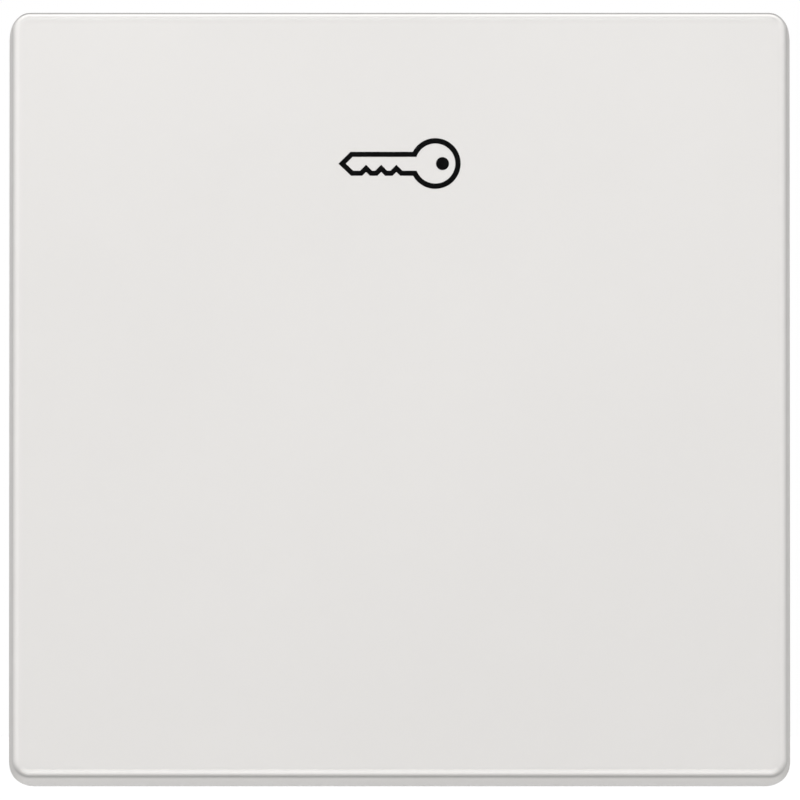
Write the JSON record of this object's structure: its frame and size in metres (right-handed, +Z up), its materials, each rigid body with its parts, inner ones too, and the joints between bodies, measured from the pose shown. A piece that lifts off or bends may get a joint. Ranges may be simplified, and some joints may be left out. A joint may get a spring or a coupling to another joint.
{
  "type": "rocker pushbutton switch insert",
  "caption": "Flush wall pushbutton: square white sprung rocker with a key symbol on a steel plate, with plunger contacts, push-in terminals and spreading claws.",
  "frame": {"origin": "centre of the support plate's rear face, which lies on the wall, and of the box screws", "axes": "+X right, +Y into the wall, +Z up; the rocker faces -Y"},
  "size_m": [0.068, 0.0383, 0.0673],
  "materials": {
    "rocker_white": "satin gloss",
    "carrier_plastic": "moulded",
    "zinc_steel": "zinc plated",
    "cover_plastic": "moulded",
    "screw_steel": "zinc plated",
    "base_thermoset": "moulded thermoset",
    "plunger_plastic": "moulded",
    "bridge_copper": "stamped",
    "contact_silver": "pressed",
    "spring_steel": "bright",
    "bar_brass": "stamped",
    "lid_plastic": "moulded",
    "claw_steel": "zinc plated, stamped",
    "nut_steel": "zinc plated",
    "key_plastic": "moulded"
  },
  "bodies": {
    "insert": {"support_plate": "zinc_steel", "mechanism_cover": "cover_plastic", "cover_screws": "screw_steel", "base_housing": "base_thermoset", "return_spring": "spring_steel", "fixed_contact_left": "contact_silver", "terminal_bar_left": "bar_brass", "terminal_lid_left": "lid_plastic", "clamp_spring_left_lower": "spring_steel", "clamp_spring_left_upper": "spring_steel", "fixed_contact_right": "contact_silver", "terminal_bar_right": "bar_brass", "terminal_lid_right": "lid_plastic", "clamp_spring_right_lower": "spring_steel", "clamp_spring_right_upper": "spring_steel"},
    "rocker": {"rocker_cover": "rocker_white", "rocker_carrier": "carrier_plastic"},
    "plunger": {"plunger": "plunger_plastic", "contact_bridge": "bridge_copper", "moving_contacts": "contact_silver", "contact_spring": "spring_steel"},
    "claw_left": {"claw_left": "claw_steel"},
    "claw_screw_left": {"claw_screw_left": "screw_steel"},
    "claw_nut_left": {"claw_nut_left": "nut_steel"},
    "release_key_left": {"release_key_left": "key_plastic"},
    "claw_right": {"claw_right": "claw_steel"},
    "claw_screw_right": {"claw_screw_right": "screw_steel"},
    "claw_nut_right": {"claw_nut_right": "nut_steel"},
    "release_key_right": {"release_key_right": "key_plastic"}
  },
  "joints": [
    {"name": "rocker_tilt", "type": "hinge", "parent": "insert", "child": "rocker", "pos_m": [0, -0.006, 0], "axis": [1, 0, 0], "range_deg": [0, 7.01]},
    {"name": "plunger_slide", "type": "slide", "parent": "insert", "child": "plunger", "axis": [0, 1, 0], "range_m": [0, 0.00159], "stiffness_N_per_m": 180, "springref_m": -0.004, "deforming": ["return_spring"]},
    {"name": "claw_screw_left_turn", "type": "hinge", "parent": "insert", "child": "claw_screw_left", "pos_m": [-0.022, 0, 0], "axis": [0, 1, 0], "range_deg": [0, 4325]},
    {"name": "claw_nut_left_slide", "type": "slide", "parent": "insert", "child": "claw_nut_left", "axis": [0, -1, 0], "range_m": [0, 0.0072]},
    {"name": "claw_left_spread", "type": "hinge", "parent": "insert", "child": "claw_left", "pos_m": [-0.022, -0.0006, 0], "axis": [0, 0, 1], "range_deg": [0, 19.6]},
    {"name": "release_key_left_push", "type": "slide", "parent": "insert", "child": "release_key_left", "axis": [0, -1, 0], "range_m": [0, 0.0014], "stiffness_N_per_m": 900, "springref_m": -0.0012, "deforming": ["clamp_spring_left_lower", "clamp_spring_left_upper"]},
    {"name": "claw_screw_right_turn", "type": "hinge", "parent": "insert", "child": "claw_screw_right", "pos_m": [0.022, 0, 0], "axis": [0, 1, 0], "range_deg": [0, 4325]},
    {"name": "claw_nut_right_slide", "type": "slide", "parent": "insert", "child": "claw_nut_right", "axis": [0, -1, 0], "range_m": [0, 0.0072]},
    {"name": "claw_right_spread", "type": "hinge", "parent": "insert", "child": "claw_right", "pos_m": [0.022, -0.0006, 0], "axis": [0, 0, -1], "range_deg": [0, 19.6]},
    {"name": "release_key_right_push", "type": "slide", "parent": "insert", "child": "release_key_right", "axis": [0, -1, 0], "range_m": [0, 0.0014], "stiffness_N_per_m": 900, "springref_m": -0.0012, "deforming": ["clamp_spring_right_lower", "clamp_spring_right_upper"]}
  ],
  "couplings": [
    {"joint": "rocker_tilt", "follows": "plunger_slide", "rad_per_m": 76.895},
    {"joint": "claw_screw_left_turn", "follows": "claw_nut_left_slide", "rad_per_m": 10472},
    {"joint": "claw_left_spread", "follows": "claw_nut_left_slide", "rad_per_m": 47.269},
    {"joint": "claw_screw_right_turn", "follows": "claw_nut_right_slide", "rad_per_m": 10472},
    {"joint": "claw_right_spread", "follows": "claw_nut_right_slide", "rad_per_m": 47.269}
  ]
}
